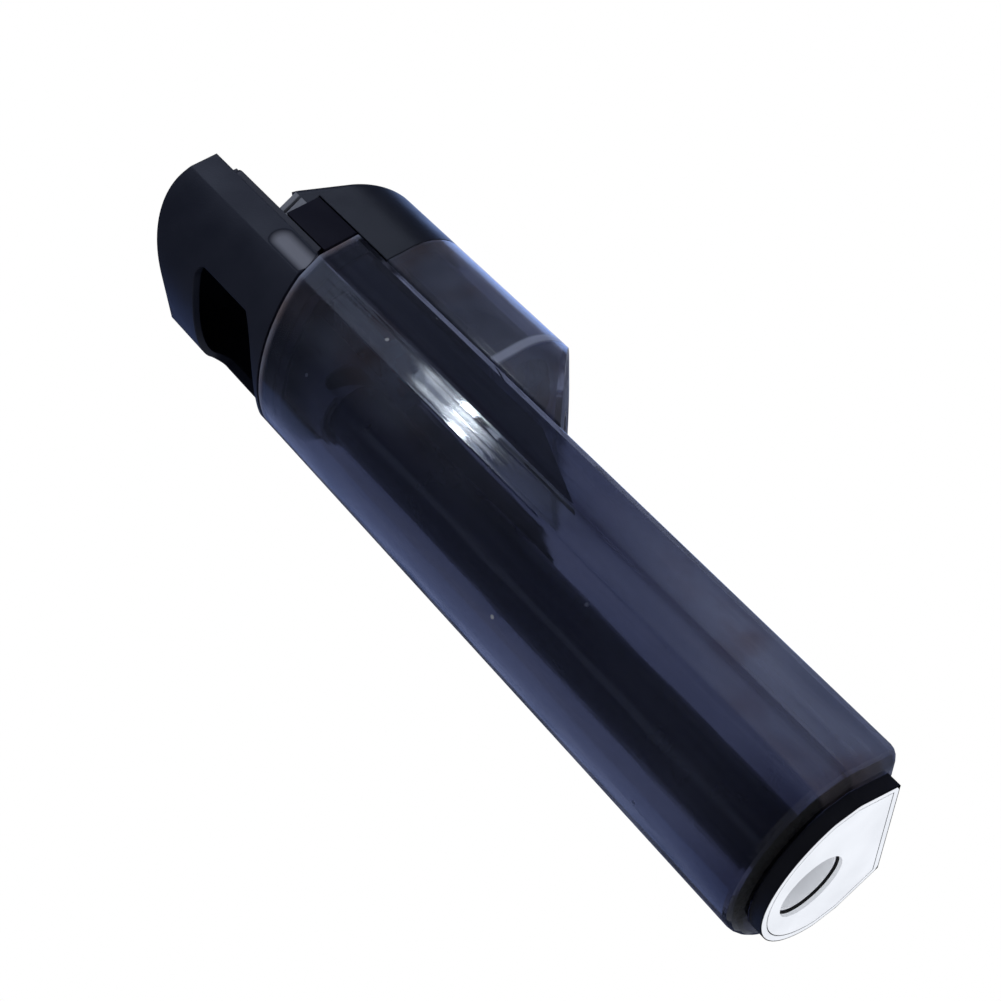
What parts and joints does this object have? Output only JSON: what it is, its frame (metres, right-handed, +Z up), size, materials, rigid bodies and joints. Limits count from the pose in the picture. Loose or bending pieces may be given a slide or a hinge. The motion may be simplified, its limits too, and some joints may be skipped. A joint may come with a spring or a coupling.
{
  "type": "vacuum dirty water tank",
  "caption": "Tall clear dirty-water tank of a floor washer, with a lift-off handle lid, float valve, suction pipe and a rear filter chamber.",
  "frame": {"origin": "middle of the overall plan, on the plane the base stands on", "axes": "+Z up along the tank, -Y to the round front with the finger hole, +Y to the filter chamber, +X to the tank's right seen from behind"},
  "size_m": [0.072, 0.093, 0.334],
  "materials": {
    "smoky_clear": "clear smoky blue-grey, polished",
    "handle_plastic": "fine moulded texture",
    "black_plastic": "satin black",
    "cover_plastic": "satin black",
    "base_plastic": "satin dark grey",
    "pad_plastic": "pale grey satin",
    "pipe_plastic": "dark grey moulded",
    "seal_rubber": "matte",
    "silicone": "red-brown silicone",
    "float_plastic": "dull red foam plastic",
    "tab_plastic": "light grey satin",
    "filter_paper": "pleated paper",
    "filter_sponge": "open foam",
    "screw_steel": "zinc plated"
  },
  "bodies": {
    "tank": {"tank_body": "smoky_clear", "outlet_grille": "black_plastic", "base_cover": "base_plastic", "base_pad": "pad_plastic", "inlet_seal": "seal_rubber", "suction_pipe": "pipe_plastic", "pipe_seal": "seal_rubber"},
    "lid": {"lid_body": "black_plastic", "lid_gasket": "seal_rubber", "lid_screws": "screw_steel", "handle_shell": "handle_plastic", "handle_back": "black_plastic", "pipe_hood": "pipe_plastic", "float_cage": "pipe_plastic", "valve_seat": "silicone"},
    "filter": {"filter_cover": "cover_plastic", "pull_tab": "tab_plastic", "filter_frame": "pipe_plastic", "filter_seal": "seal_rubber", "filter_media": "filter_paper", "filter_foam": "filter_sponge"},
    "float": {"float_block": "float_plastic"}
  },
  "joints": [
    {"name": "lid_lift", "type": "slide", "parent": "tank", "child": "lid", "axis": [0, 0, 1], "range_m": [0, 0.065]},
    {"name": "filter_lift", "type": "slide", "parent": "lid", "child": "filter", "axis": [0, 0, 1], "range_m": [0, 0.065]},
    {"name": "float_rise", "type": "slide", "parent": "lid", "child": "float", "axis": [0, 0, 1], "range_m": [0, 0.01]}
  ]
}
